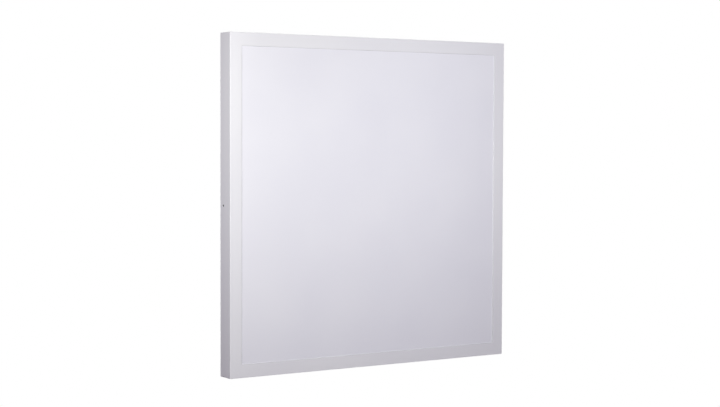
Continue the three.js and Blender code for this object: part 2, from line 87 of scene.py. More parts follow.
# Side screws and the dishes that they sit in; a recess is its arms' (reach, half width, depth)
DISH = [(2.35, 0), (2.18, 0.06), (2.1, 0.22), (2.1, 0.5), (2.1, 1.1), (1.55, 1.2)]
SIDE_HEAD = [(1.2, 0), (1.65, 0.5), (1.78, 0.7), (1.72, 0.8)]
SIDE_HEAD_HEIGHT = 0.8 * MM
SIDE_SHANK_RADIUS = 1.25 * MM
SIDE_RECESS = (1.1 * MM, 0.28 * MM, 0.7 * MM)

# Pan-head screws and welded studs
PAN_HEAD = [(1.5, 0), (2.7, 0), (2.8, 0.2), (2.75, 0.9), (2.4, 1.5), (1.9, 1.85), (1.6, 1.95)]
PAN_HEAD_HEIGHT = 2 * MM
PAN_RECESS = (1.35 * MM, 0.32 * MM, 1.2 * MM)
M3_RADIUS = 1.5 * MM
M3_PITCH = 0.5 * MM
M4_RADIUS = 2 * MM
M4_PITCH = 0.7 * MM
THREAD_DEPTH = 0.6  # of the pitch
RECESS_TAPER = 0.55  # of the recess's width at its mouth, left at its bottom
RETAINER_STUD = 8 * MM
EARTH_STUD = 11 * MM

# Tray; the slope round a raised land or disc is (inset, height) in millimetres
FLOOR_RAISE = 2 * MM
FLANGE_RELIEF = 3 * MM
FLANGE_BEND = 1.5 * MM
FLANGE_SLOT = 10 * MM
FLANGE_SLOT_REAR = 5 * MM
LAND_LENGTH = 548 * MM
LAND_WIDTH = 24 * MM
LAND_CORNER = 7 * MM
PRESSED_SLOPE = [(0, 0), (0.4, 0.12), (1.0, 0.8), (1.5, 1.6), (2.0, 1.95), (2.4, 2.0)]
DISC_RADIUS = 6 * MM
CABLE_DISC_RADIUS = 18 * MM
CABLE_HOLE_RADIUS = 11 * MM
SCREW_HOLE_RADIUS = 1.8 * MM
FIXING_SLOT = (12 * MM, 6 * MM)
FIXING_PLACES = [(x * MM, z * MM) for x in (-250, 250) for z in (-180, 180)]
TRAY_SCREWS = ("driver_screw_1", "driver_screw_2", "terminal_screw", "cord_clamp_screw")

# LED strips; SOCKET_HALF is half the socket's size in X and Z
BOARD_THICK = 1.5 * MM
BOARD_CORNER = 1 * MM
LED_STRIPS = 6
LED_PITCH = 90 * MM
LED_COUNT = 6
PAD_FROM_LED = 20 * MM
LENS_FOOT_CIRCLE = 5.2 * MM
LENS = [
    (0, 2.4), (1.2, 2.1), (2.2, 1.2), (2.6, 0.6), (6.6, 0.6), (7.4, 0.8), (7.5, 1.4), (7.2, 2.8),
    (6.3, 4.2), (4.9, 5.2), (3.2, 5.7), (2.0, 5.6), (1.0, 5.1), (0, 4.7),
]
RIVET_X = 180 * MM
SOCKET_X = 262 * MM
SOCKET_HALF = (4 * MM, 3.5 * MM)
SOCKET_HEIGHT = 4.5 * MM
SOCKET_WALL = 0.7 * MM
SOCKET_POCKET = 2.5 * MM

# Wiring, as points in millimetres
MAINS_ROUTE = [(-55.7, -8.3, 0), (-48, -8.8, 1), (-32, -12.3, 8), (-23, -12.3, 10), (-15.3, -12.3, 10)]
OUTPUT_ROUTE = [
    (135.3, -12.3, -10), (147, -12.3, -10), (190, -8.3, -24),
    (232, -9.3, -29), (250, -8.05, -44), (257.7, -7.05, -45),
]
EARTH_ROUTE = [(-92, -2.5, 26), (-85, -3.3, 27), (-70, -9.3, 28), (-63, -9.3, 24), (-62, -9.3, 15.3)]
THIN_WIRE = 0.7 * MM
SHEATHED_WIRE = 1.8 * MM
EARTH_WIRE = 1.45 * MM
EARTH_STRIPE = 1.1 * MM
LUG_WASHER = [(2.3, 0), (4.0, 0), (4.05, 0.1), (4.05, 0.7), (4.0, 0.8), (2.3, 0.8), (2.3, 0)]
LUG_BARREL = [
    (1.5, 0), (1.9, 0), (2.0, 0.15), (1.75, 1.6), (1.75, 2.6), (2.0, 4.0), (1.9, 4.3), (1.5, 4.3), (1.5, 0)
]


# ---------------------------------------------------------------- camera

CAMERA_FROM_FRONT = Vector((-1.621, -2.399, 0.124))
CAMERA_YAW = math.radians(33.53)
CAMERA_PITCH = math.radians(-2.489)
CAMERA_ROLL = math.radians(0.193)
FOCAL_LENGTH = 79.25


def make_camera():
    """The camera stands to the left of the panel and looks along it at a third of a right angle."""
    data = bpy.data.cameras.new("camera")
    data.lens = FOCAL_LENGTH
    camera = bpy.data.objects.new("camera", data)
    front_centre = Vector(((cad_low.x + cad_high.x) / 2, cad_low.y, (cad_low.z + cad_high.z) / 2))
    yaw = Matrix.Rotation(-CAMERA_YAW, 4, "Z")
    pitch = Matrix.Rotation(math.radians(90) + CAMERA_PITCH, 4, "X")
    roll = Matrix.Rotation(CAMERA_ROLL, 4, "Z")
    camera.matrix_world = Matrix.Translation(front_centre + CAMERA_FROM_FRONT) @ yaw @ pitch @ roll
    bpy.context.scene.collection.objects.link(camera)
    bpy.context.scene.camera = camera


make_camera()


# ---------------------------------------------------------------- materials


def srgb(code):
    """An sRGB hex colour as linear RGBA."""
    channels = [int(code[i : i + 2], 16) / 255 for i in (0, 2, 4)]
    return tuple(c / 12.92 if c <= 0.04045 else ((c + 0.055) / 1.055) ** 2.4 for c in channels) + (1.0,)


def add(tree, kind, inputs, **settings):
    """Adds a node with its settings; an input that is a socket is linked, any other is a value."""
    made = tree.nodes.new(kind)
    for name, value in settings.items():
        setattr(made, name, value)
    for name, value in inputs.items():
        if isinstance(value, bpy.types.NodeSocket):
            tree.links.new(value, made.inputs[name])
        else:
            made.inputs[name].default_value = value
    return made


def new_material(name):
    """An empty material, with its node tree and the coordinates of the piece that its patterns follow."""
    material = bpy.data.materials.new(name)
    material.use_nodes = True
    tree = material.node_tree
    tree.nodes.clear()
    place = add(tree, "ShaderNodeTexCoord", {}).outputs["Object"]
    return material, tree, place


def surface(tree, inputs):
    """Ends a material in one shader with these inputs."""
    shader = add(tree, "ShaderNodeBsdfPrincipled", inputs)
    add(tree, "ShaderNodeOutputMaterial", {"Surface": shader.outputs["BSDF"]})


def noise(tree, place, size, detail=2.0):
    """Noise whose features are about size metres across."""
    inputs = {"Vector": place, "Scale": 1 / size, "Detail": detail}
    return add(tree, "ShaderNodeTexNoise", inputs).outputs["Fac"]


def between(tree, factor, low, high, start=0.3, end=0.7):
    """Remaps a factor to run from low to high."""
    inputs = {"Value": factor, "From Min": start, "From Max": end, "To Min": low, "To Max": high}
    return add(tree, "ShaderNodeMapRange", inputs).outputs["Result"]


def blended(tree, factor, first, second):
    """Two colours blended by a factor that varies over the surface."""
    ramp = add(tree, "ShaderNodeValToRGB", {"Fac": factor})
    ramp.color_ramp.elements[0].position = 0.3
    ramp.color_ramp.elements[0].color = srgb(first)
    ramp.color_ramp.elements[1].position = 0.7
    ramp.color_ramp.elements[1].color = srgb(second)
    return ramp.outputs["Color"]


def bumped(tree, height, depth, normal=None):
    """A bump of depth metres from a height between 0 and 1."""
    inputs = {"Height": height, "Distance": depth, "Strength": 1.0}
    if normal is not None:
        inputs["Normal"] = normal
    return add(tree, "ShaderNodeBump", inputs).outputs["Normal"]


def powder_coat(name, dark, light):
    """Baked polyester powder on steel: satin, with a fine orange peel that softens every reflection."""
    material, tree, place = new_material(name)
    peel = noise(tree, place, 2.4 * MM)
    grit = noise(tree, place, 0.35 * MM)
    normal = bumped(tree, peel, 0.012 * MM)
    normal = bumped(tree, grit, 0.004 * MM, normal)
    batch = noise(tree, place, 180 * MM, 1.0)
    surface(
        tree,
        {
            "Base Color": blended(tree, batch, dark, light),
            "Roughness": between(tree, peel, 0.28, 0.36),
            "IOR": 1.5,
            "Normal": normal,
        },
    )
    return material


def opal_sheet():
    """Extruded opal polystyrene, satin on the room side: an even milky white with a soft sheen."""
    material, tree, place = new_material("opal_sheet")
    satin = noise(tree, place, 0.6 * MM)
    flow = noise(tree, place, 120 * MM, 1.0)
    surface(
        tree,
        {
            "Base Color": blended(tree, flow, "e6e5ed", "e9e8ef"),
            "Roughness": between(tree, satin, 0.6, 0.7),
            "IOR": 1.49,
            "Normal": bumped(tree, satin, 0.003 * MM),
        },
    )
    return material


def tray_coat():
    """Coil-coated steel: a thin smooth white paint with the faint lines of the roller."""
    material, tree, place = new_material("tray_coat")
    lines = add(tree, "ShaderNodeMapping", {"Vector": place, "Scale": (1.0, 1.0, 24.0)}).outputs["Vector"]
    roller = noise(tree, lines, 24 * MM)
    rubbed = noise(tree, place, 35 * MM, 4.0)
    surface(
        tree,
        {
            "Base Color": blended(tree, rubbed, "e4e4e2", "ebebe9"),
            "Roughness": between(tree, rubbed, 0.34, 0.46),
            "IOR": 1.5,
            "Normal": bumped(tree, roller, 0.006 * MM),
        },
    )
    return material


def plated(name, dark, light):
    """Electroplate on a pressed part: a bright metal with cloudy grey patches and a fine grain."""
    material, tree, place = new_material(name)
    cloud = noise(tree, place, 6 * MM, 5.0)
    surface(
        tree,
        {
            "Base Color": blended(tree, cloud, dark, light),
            "Metallic": 1.0,
            "Roughness": between(tree, cloud, 0.26, 0.42),
            "Normal": bumped(tree, noise(tree, place, 0.4 * MM), 0.004 * MM),
        },
    )
    return material


def black_oxide():
    """Black oxide on a steel screw: a dark satin metal, greyer where it is rubbed."""
    material, tree, place = new_material("black_oxide")
    rubbed = noise(tree, place, 0.8 * MM)
    surface(
        tree,
        {
            "Base Color": blended(tree, rubbed, "262628", "3a3a3d"),
            "Metallic": 0.6,
            "Roughness": between(tree, rubbed, 0.4, 0.55),
            "Normal": bumped(tree, rubbed, 0.004 * MM),
        },
    )
    return material


def white_solder_mask():
    """White solder mask on an aluminium board: a slightly uneven satin coat."""
    material, tree, place = new_material("white_solder_mask")
    coat = noise(tree, place, 4 * MM)
    surface(
        tree,
        {
            "Base Color": blended(tree, coat, "eceee8", "f3f4ef"),
            "Roughness": between(tree, coat, 0.32, 0.42),
            "IOR": 1.5,
            "Normal": bumped(tree, coat, 0.01 * MM),
        },
    )
    return material


def moulded(name, dark, light, roughness, grain=0.25 * MM):
    """Injection-moulded plastic: an even colour under a spark-eroded grain."""
    material, tree, place = new_material(name)
    speck = noise(tree, place, grain)
    tone = noise(tree, place, 15 * MM)
    surface(
        tree,
        {
            "Base Color": blended(tree, tone, dark, light),
            "Roughness": between(tree, speck, roughness - 0.05, roughness + 0.05),
            "IOR": 1.5,
            "Normal": bumped(tree, speck, 0.006 * MM),
        },
    )
    return material


def clear_acrylic():
    """Moulded acrylic lens: clear, glossy, with faint flow waves."""
    material, tree, place = new_material("clear_acrylic")
    surface(
        tree,
        {
            "Base Color": srgb("f7f8f8"),
            "Transmission Weight": 0.9,
            "Roughness": between(tree, noise(tree, place, 3 * MM), 0.03, 0.09),
            "IOR": 1.49,
            "Normal": bumped(tree, noise(tree, place, 4 * MM), 0.01 * MM),
        },
    )
    return material


POWDER_COAT = powder_coat("white_powder_coat", "e6e5ea", "e9e8ec")
# A darker grey copy of the white coat for the window's rounded edge and lip wall: painted shade that dims
# the lip where it catches light
LIP_SHADE_COAT = powder_coat("lip_painted_shade_coat", "c8c7cc", "d1d0d4")
OPAL = opal_sheet()
TRAY_COAT = tray_coat()
# Zinc has a bluish cast, and tin on the solder pads and the lug is warmer and paler
ZINC = plated("zinc_plate", "aeb2b8", "c9ccd0")
TINNED = plated("tinned_copper", "c4c2bc", "d8d6d0")
BLACK_OXIDE = black_oxide()
SOLDER_MASK = white_solder_mask()
ACRYLIC = clear_acrylic()
# Closed-cell polyethylene foam: matt, with pores that show as a coarse grain
FOAM = moulded("closed_cell_foam", "e6e6e3", "f2f2f0", 0.9, 0.7 * MM)
# Undyed nylon is slightly yellow beside the white polycarbonate of the housings
NYLON = moulded("natural_nylon", "dad7cc", "e6e3da", 0.45)
POLYCARBONATE = moulded("white_polycarbonate", "e7e6e0", "eeede8", 0.42)
ORANGE = moulded("orange_polyamide", "d96c1e", "e67a2a", 0.4)
# Moulded rubber is nearly black and dull, with a bloom that greys it in patches
RUBBER = moulded("moulded_rubber", "232324", "313132", 0.7, 0.5 * MM)
# Solder mask over copper tracks looks lighter where there is copper below it
CIRCUIT = moulded("green_solder_mask", "20553a", "2d6a48", 0.35)
# Phosphor in clear resin: a saturated yellow, grainy close to
PHOSPHOR = moulded("phosphor_resin", "d9b62c", "e8c73a", 0.35, 0.15 * MM)
# Extruded PVC insulation: smooth, with a low sheen along the wire
GREY_PVC = moulded("grey_pvc", "cfcfcd", "dcdcda", 0.4)
RED_PVC = moulded("red_pvc", "b3241f", "c4302a", 0.4)
EARTH_PVC = moulded("green_pvc", "5f9c2e", "79b53c", 0.4)
YELLOW_PVC = moulded("yellow_pvc", "dcc52c", "e6d23a", 0.4)


# ---------------------------------------------------------------- building


def in_mm(points):
    """Points given in millimetres, in metres."""
    return [Vector(point) * MM for point in points]


def piece_from(bm, name, nodes, *materials, sharp=50):
    """Makes a finished piece from a bmesh: it replaces its CAD nodes and rides on their body."""
    bmesh.ops.remove_doubles(bm, verts=bm.verts, dist=MERGE_DISTANCE)
    for face in bm.faces:
        face.smooth = True
    for edge in bm.edges:
        edge.smooth = len(edge.link_faces) == 2 and edge.calc_face_angle() < math.radians(sharp)
    mesh = bpy.data.meshes.new(name)
    bm.to_mesh(mesh)
    bm.free()
    for material in materials:
        mesh.materials.append(material)
    piece = bpy.data.objects.new(name, mesh)
    bpy.context.scene.collection.objects.link(piece)
    return standing_for(piece, nodes)


def standing_for(piece, nodes):
    """The piece replaces its CAD nodes and rides on their body."""
    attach(piece, body_of[nodes[0]])
    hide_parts(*nodes)
    return piece


def thickened(piece, thickness):
    """Gives a sheet its thickness on the side away from its normals."""
    modifier = piece.modifiers.new("sheet", "SOLIDIFY")
    modifier.thickness = thickness
    modifier.offset = -1
    modifier.use_even_offset = True
    return piece


def with_flat_faces(piece):
    """Keeps large faces flat beside their rounded edges."""
    modifier = piece.modifiers.new("flat_faces", "WEIGHTED_NORMAL")
    modifier.keep_sharp = True
    modifier.weight = 100
    return piece


def once(items):
    """Each item once and in order, so that every run builds the same mesh."""
    return list(dict.fromkeys(items))


def box_between(bm, low, high):
    """Adds a box and returns its faces."""
    low, high = Vector(low), Vector(high)
    matrix = Matrix.Translation((low + high) / 2) @ Matrix.Diagonal((*(high - low), 1))
    verts = bmesh.ops.create_cube(bm, size=1, matrix=matrix)["verts"]
    return once(f for v in verts for f in v.link_faces)


def edges_of(verts):
    """The edges that have both ends among these vertices."""
    inside = set(verts)
    return [e for e in once(e for v in verts for e in v.link_edges) if inside.issuperset(e.verts)]


def rounded(bm, edges, radius, segments=3, **settings):
    """Rounds edges to a radius."""
    settings |= {"offset": radius, "segments": segments, "profile": 0.5, "affect": "EDGES", "material": -1}
    bmesh.ops.bevel(bm, geom=edges, **settings)


def eased_box(bm, low, high, radius, segments=2):
    """Adds a box with rounded edges."""
    faces = box_between(bm, low, high)
    rounded(bm, once(e for f in faces for e in f.edges), radius, segments)


def around(bm, foot, half, height, radius):
    """Adds an eased box that stands on a face towards the room; its sizes are in millimetres."""
    foot, reach = Vector(foot), Vector((half[0], 0, half[1])) * MM
    eased_box(bm, foot - reach - Vector((0, height * MM, 0)), foot + reach, radius * MM)


def painted(bm, before, index):
    """Gives a piece's material of this index to the faces made since before."""
    for face in set(bm.faces) - before:
        face.material_index = index


def ring(bm, centre, radius, across, up, count=32, stretch=(0.0, 0.0)):
    """A loop of edges round centre in the plane of two axes; stretch pulls it apart into a long hole."""
    centre, across, up = Vector(centre), Vector(across), Vector(up)
    turn = Matrix((across, up, across.cross(up))).transposed().to_4x4()
    matrix = Matrix.Translation(centre) @ turn @ Matrix.Rotation(math.pi / count, 4, "Z")
    verts = bmesh.ops.create_circle(bm, radius=radius, segments=count, matrix=matrix)["verts"]
    for v in verts:
        for axis, pull in ((across, stretch[0]), (up, stretch[1])):
            v.co += axis * math.copysign(pull / 2, (v.co - centre).dot(axis))
    return edges_of(verts)


def pressed(bm, centre, across, up, profile, stretch=(0.0, 0.0), count=32):
    """Rings of (radius, depth) joined into one wall; depth runs against across x up.

    Returns the first and the last ring's edges.
    """
    inward = -Vector(across).cross(Vector(up))
    rings = [ring(bm, Vector(centre) + inward * d, r, across, up, count, stretch) for r, d in profile]
    for first, second in zip(rings, rings[1:]):
        bmesh.ops.bridge_loops(bm, edges=first + second)
    return rings[0], rings[-1]


def stepped(bm, edges, moves):
    """Draws a line of edges on through moves and returns the last line."""
    for move in moves:
        made = bmesh.ops.extrude_edge_only(bm, edges=edges)["geom"]
        bmesh.ops.translate(bm, verts=[g for g in made if isinstance(g, bmesh.types.BMVert)], vec=move)
        edges = [g for g in made if isinstance(g, bmesh.types.BMEdge)]
    return edges


def faced(bm, edges):
    """Fills the space between flat loops of edges."""
    return bmesh.ops.triangle_fill(bm, use_beauty=True, use_dissolve=False, edges=edges)


def facing(bm, point, normal):
    """Turns all faces the same way round, so that the face nearest to a point looks along normal."""
    bmesh.ops.recalc_face_normals(bm, faces=bm.faces)
    nearest = min(bm.faces, key=lambda f: (f.calc_center_median() - Vector(point)).length)
    if nearest.normal.dot(Vector(normal)) < 0:
        bmesh.ops.reverse_faces(bm, faces=bm.faces)


def turned(bm, centre, axis, profile, count=24):
    """Spins a line of (radius, height) points about an axis; height runs along the axis."""
    centre, axis = Vector(centre), Vector(axis).normalized()
    side = axis.orthogonal().normalized()
    verts = [bm.verts.new(centre + side * r + axis * h) for r, h in profile]
    line = verts + [bm.edges.new(pair) for pair in zip(verts, verts[1:])]
    full = {"angle": math.tau, "steps": count, "use_merge": True}
    bmesh.ops.spin(bm, geom=line, cent=centre, axis=axis, dvec=(0, 0, 0), **full)


def eased_copy(node, name, material, radius=0.25 * MM, segments=2):
    """A CAD piece with its triangles merged into flat faces and its sharp edges rounded."""
    bm = bmesh.new()
    bm.from_mesh(frame["nodes"][node].data)
    bmesh.ops.remove_doubles(bm, verts=bm.verts, dist=2 * MERGE_DISTANCE)
    bmesh.ops.dissolve_limit(bm, angle_limit=math.radians(1), verts=bm.verts, edges=bm.edges)
    sharp = [e for e in bm.edges if len(e.link_faces) == 2 and e.calc_face_angle() > math.radians(40)]
    rounded(bm, sharp, radius, segments, clamp_overlap=True)
    return with_flat_faces(piece_from(bm, name, [node], material))


# ---------------------------------------------------------------- cover


def cover_frame():
    """One pressed frame: walls, bezel and the window's lip, with a dished seat for each side screw."""
    low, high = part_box("cover_frame")
    bm = bmesh.new()
    box_between(bm, low, high)
    bmesh.ops.delete(bm, geom=[f for f in bm.faces if f.normal.y > 0.5], context="FACES_ONLY")
    rounded(bm, [e for e in bm.edges if abs(e.verts[0].co.y - e.verts[1].co.y) > SHEET], CORNER_RADIUS, 5)
    front = next(f for f in bm.faces if f.normal.y < -0.5)
    rounded(bm, list(front.edges), FRONT_RADIUS, 4)
    front = max((f for f in bm.faces if f.normal.y < -0.99), key=lambda f: f.calc_area())
    outline = list(front.edges)
    bmesh.ops.delete(bm, geom=[front], context="FACES_ONLY")
    centre = Vector(((low.x + high.x) / 2, low.y, (low.z + high.z) / 2))
    window = (high.x - low.x) / 2 - BEZEL_WIDTH
    straight = (2 * (window - WINDOW_CORNER),) * 2
    edge = []
    for a in quarter_turn(4):
        edge.append((WINDOW_CORNER + WINDOW_RADIUS * (1 - math.sin(a)), WINDOW_RADIUS * (1 - math.cos(a))))
    edge.append((WINDOW_CORNER, LIP_DEPTH))
    before = set(bm.faces)
    mouth, _ = pressed(bm, centre, *ROOM_PLANE, edge, straight, 16)
    # The window's rounded edge and lip wall take the darker coat, which is painted shade
    painted(bm, before, 1)
    faced(bm, outline + mouth)
    for side, name in ((-1, "side_screw_left"), (1, "side_screw_right")):
        screw_seat(bm, side, name)
    facing(bm, (low.x, (low.y + high.y) / 2, low.z / 2), (-1, 0, 0))
    piece = piece_from(bm, "painted_cover", ["cover_frame"], POWDER_COAT, LIP_SHADE_COAT)
    return with_flat_faces(thickened(piece, SHEET))


def quarter_turn(steps):
    """Angles from 0 to a right angle."""
    return [math.radians(90) * i / steps for i in range(steps + 1)]


def screw_seat(bm, side, screw):
    """A round dish pressed into the side wall, with the screw's hole in its floor."""
    low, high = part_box(screw)
    wall = max((f for f in bm.faces if f.normal.x * side > 0.99), key=lambda f: f.calc_area())
    outline = list(wall.edges)
    centre = Vector((wall.calc_center_median().x, (low.y + high.y) / 2, (low.z + high.z) / 2))
    bmesh.ops.delete(bm, geom=[wall], context="FACES_ONLY")
    mouth, _ = pressed(bm, centre, (0, side, 0), (0, 0, 1), in_mm(DISH), count=24)
    faced(bm, outline + mouth)


def diffuser():
    """The opal sheet, cut square with eased edges."""
    low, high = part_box("diffuser")
    bm = bmesh.new()
    eased_box(bm, low, high, 0.3 * MM)
    return with_flat_faces(piece_from(bm, "opal_diffuser", ["diffuser"], OPAL))


def weld_studs():
    """The threaded studs that are welded to the back of the bezel, one through each retainer nut."""
    bm = bmesh.new()
    bezel_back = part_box("cover_frame")[0].y + SHEET
    for node in sorted(n for n in slot_of if n.startswith("retainer_nut")):
        low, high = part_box(node)
        centre = ((low.x + high.x) / 2, bezel_back, (low.z + high.z) / 2)
        turned(bm, centre, (0, 1, 0), threaded(M3_RADIUS, RETAINER_STUD), 16)
    facing(bm, (1, 0, 0), (1, 0, 0))
    return piece_from(bm, "weld_studs", ["cover_frame"], ZINC)


def threaded(radius, length, pitch=M3_PITCH):
    """The outline of a metric thread in metres, from the axis at its foot to the axis at its end."""
    root = radius - THREAD_DEPTH * pitch
    points = [(0, 0), (radius, 0)]
    for i in range(1, int(length / pitch)):
        points += [(root, (i - 0.5) * pitch), (radius, i * pitch)]
    return points + [(root, length - 0.3 * pitch), (0, length)]


def cross_loop(bm, centre, across, up, reach, width):
    """The outline of a cross recess: its arms reach this far and are twice this width across."""
    corner = [(reach, -width), (reach, width), (width, width)]
    points = []
    for quarter in range(4):
        turn = Matrix.Rotation(math.radians(90) * quarter, 2)
        points += [turn @ Vector(p) for p in corner]
    verts = [bm.verts.new(Vector(centre) + Vector(across) * p.x + Vector(up) * p.y) for p in points]
    return [bm.edges.new((a, b)) for a, b in zip(verts, verts[1:] + verts[:1])]


def screw_from(name, node, material, seat, outward, head, thread, recess):
    """A cross-recess screw along outward, its head's profile drawn from the shank up to the flat top."""
    outward = Vector(outward)
    across = Vector((0, 0, 1))
    up = outward.cross(across)
    radius, length = thread
    bm = bmesh.new()
    shank = [(r, h - length) for r, h in threaded(radius, length)][:-1]
    turned(bm, seat, outward, [(0, -length), *shank[1:], (radius * 0.8, 0), *head])
    top = Vector(seat) + outward * head[-1][1]
    bmesh.ops.remove_doubles(bm, verts=bm.verts, dist=MERGE_DISTANCE)
    rim = [e for e in bm.edges if e.is_boundary]
    reach, width, depth = recess
    mouth = cross_loop(bm, top, across, up, reach, width)
    faced(bm, rim + mouth)
    bottom = stepped(bm, mouth, [outward * -depth])
    for v in once(v for e in bottom for v in e.verts):
        v.co = top - outward * depth + (v.co - top + outward * depth) * RECESS_TAPER
    faced(bm, bottom)
    facing(bm, Vector(seat) + across, across)
    return piece_from(bm, name, [node], material, sharp=35)


def side_screw(side, node):
    """A black flat-head screw, flush in its dish."""
    low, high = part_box(node)
    middle = ((low.y + high.y) / 2, (low.z + high.z) / 2)
    outer = high.x if side > 0 else low.x
    seat = Vector((outer - side * SIDE_HEAD_HEIGHT, *middle))
    thread = (SIDE_SHANK_RADIUS, high.x - low.x - SIDE_HEAD_HEIGHT)
    head = in_mm(SIDE_HEAD)
    return screw_from(node + "_black", node, BLACK_OXIDE, seat, (side, 0, 0), head, thread, SIDE_RECESS)


cover_frame()
diffuser()
weld_studs()
side_screw(-1, "side_screw_left")
side_screw(1, "side_screw_right")
eased_copy("edge_seal", "foam_edge_seal", FOAM, 0.4 * MM)
for place in ("left", "right", "top", "bottom"):
    eased_copy("retainer_" + place, "retainer_angle_" + place, ZINC, 0.3 * MM)
for place in ("left", "right"):
    eased_copy("clamp_plate_" + place, "threaded_plate_" + place, ZINC, 0.2 * MM)
for number in range(1, 9):
    eased_copy(f"retainer_nut_{number}", f"hex_nut_{number}", ZINC, 0.2 * MM)


# ---------------------------------------------------------------- tray


def middle_of(node):
    """The middle of a CAD piece's box."""
    low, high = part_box(node)
    return (low + high) / 2


def tray_outline(bm, flat, reach):
    """The floor's edge, and the parts of it that carry the flanges, as (edges, outward, has a slot)."""
    verts, bends = [], []
    for quarter in range(4):
        turn = Matrix.Rotation(math.radians(-90) * quarter, 3, "Y")
        slot = [-FLANGE_SLOT / 2, FLANGE_SLOT / 2] if quarter % 2 == 0 else []
        stops = [-flat, -reach, *slot, reach]
        bends.append((len(verts) + 1, len(stops) - 2, turn @ Vector((1, 0, 0)), bool(slot)))
        verts += [bm.verts.new(turn @ Vector((flat, 0, t))) for t in stops]
    edges = [bm.edges.new((a, b)) for a, b in zip(verts, verts[1:] + verts[:1])]
    flanges = [(edges[start : start + count], outward, slotted) for start, count, outward, slotted in bends]
    return edges, flanges


def raised(radius):
    """The slope of a land or disc that is pressed up from the floor, radius wide at its foot."""
    return [(radius - inset * MM, depth * MM) for inset, depth in PRESSED_SLOPE]


def base_tray():
    """Pressed steel tray: raised lands and discs, fixing slots, and flanges bent towards the room."""
    low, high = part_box("base_tray")
    bm = bmesh.new()
    edges, flanges = tray_outline(bm, high.x - FLANGE_BEND, high.x - FLANGE_RELIEF)
    loops = list(edges)
    stretch = (LAND_LENGTH - 2 * LAND_CORNER, LAND_WIDTH - 2 * LAND_CORNER)
    for node in sorted(n for n in slot_of if n.startswith("led_strip")):
        z = middle_of(node).z
        mouth, top = pressed(bm, (0, 0, z), *WALL_PLANE, raised(LAND_CORNER), stretch, 16)
        loops += mouth
        for x in (-RIVET_X, RIVET_X):
            top = top + ring(bm, (x, -FLOOR_RAISE, z), SCREW_HOLE_RADIUS, *WALL_PLANE, 16)
        faced(bm, top)
    discs = [(middle_of(node), DISC_RADIUS, SCREW_HOLE_RADIUS) for node in TRAY_SCREWS]
    discs.append((middle_of("cable_grommet"), CABLE_DISC_RADIUS, CABLE_HOLE_RADIUS))
    for place, radius, hole in discs:
        mouth, top = pressed(bm, (place.x, 0, place.z), *WALL_PLANE, raised(radius))
        loops += mouth
        faced(bm, top + ring(bm, (place.x, -FLOOR_RAISE, place.z), hole, *WALL_PLANE))
    length, width = FIXING_SLOT
    for x, z in FIXING_PLACES:
        loops += ring(bm, (x, 0, z), width / 2, *WALL_PLANE, 16, (length - width, 0))
    faced(bm, loops)
    for line, outward, slotted in flanges:
        bend = [(math.sin(a) * FLANGE_BEND, (1 - math.cos(a)) * FLANGE_BEND) for a in quarter_turn(4)]
        moves = [outward * (b[0] - a[0]) + Vector((0, a[1] - b[1], 0)) for a, b in zip(bend, bend[1:])]
        line = stepped(bm, line, [*moves, (0, FLANGE_BEND - FLANGE_SLOT_REAR, 0)])
        if slotted:
            line = [e for e in line if abs(sum(v.co.z for v in e.verts)) > FLANGE_SLOT]
        stepped(bm, line, [(0, low.y + FLANGE_SLOT_REAR, 0)])
    facing(bm, (0, 0, 0), (0, 1, 0))
    return with_flat_faces(thickened(piece_from(bm, "pressed_tray", ["base_tray"], TRAY_COAT), SHEET))


def grommet():
    """Soft ring that grips the sheet round the cable hole, thin at its lip."""
    low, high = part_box("cable_grommet")
    centre = (low + high) / 2
    outer = (high.x - low.x) / 2 / MM
    room, wall = -low.y / MM, -high.y / MM
    front, rear = (FLOOR_RAISE + SHEET) / MM + 0.2, FLOOR_RAISE / MM - 0.2
    profile = [
        (6.0, room - 0.6), (6.4, room), (outer - 1.6, room), (outer - 0.5, room - 0.5),
        (outer, front + 0.5), (outer - 0.3, front), (10.8, front), (10.8, rear), (outer - 0.3, rear),
        (outer, rear - 0.4), (outer - 0.8, wall), (7.0, wall), (6.2, wall + 0.5), (6.0, room - 0.6),
    ]
    bm = bmesh.new()
    turned(bm, (centre.x, 0, centre.z), ROOMWARD, in_mm(profile), 48)
    facing(bm, (centre.x, low.y - 1, centre.z), ROOMWARD)
    return piece_from(bm, "rubber_grommet", ["cable_grommet"], RUBBER, sharp=60)


def earth_stud():
    """The threaded earth stud, welded to the tray's floor."""
    centre = middle_of("earth_nut")
    bm = bmesh.new()
    turned(bm, (centre.x, -SHEET, centre.z), ROOMWARD, threaded(M4_RADIUS, EARTH_STUD, M4_PITCH), 20)
    facing(bm, (centre.x + 1, 0, centre.z), (1, 0, 0))
    return piece_from(bm, "earth_stud", ["base_tray"], ZINC)


base_tray()
grommet()
earth_stud()
eased_copy("earth_nut", "earth_hex_nut", ZINC, 0.25 * MM)


# ---------------------------------------------------------------- LED strips


def board_face(node):
    """The face of a strip's board: its plane in Y and its middle in Z."""
    low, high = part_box(node)
    return high.y - BOARD_THICK, (low.z + high.z) / 2


def led_columns():
    """Where the LEDs stand along a strip."""
    return [(i - (LED_COUNT - 1) / 2) * LED_PITCH for i in range(LED_COUNT)]


def strip_board(node, number):
    """The strip's aluminium board with its rivet holes."""
    low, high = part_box(node)
    front, z = board_face(node)
    stretch = (high.x - low.x - 2 * BOARD_CORNER, high.z - low.z - 2 * BOARD_CORNER)
    bm = bmesh.new()
    loops = ring(bm, (0, front, z), BOARD_CORNER, *ROOM_PLANE, 16, stretch)
    for x in (-RIVET_X, RIVET_X):
        loops = loops + ring(bm, (x, front, z), SCREW_HOLE_RADIUS, *ROOM_PLANE, 24)
    faced(bm, loops)
    facing(bm, (0, front, z), ROOMWARD)
    return thickened(piece_from(bm, f"strip_board_{number}", [node], SOLDER_MASK), BOARD_THICK)


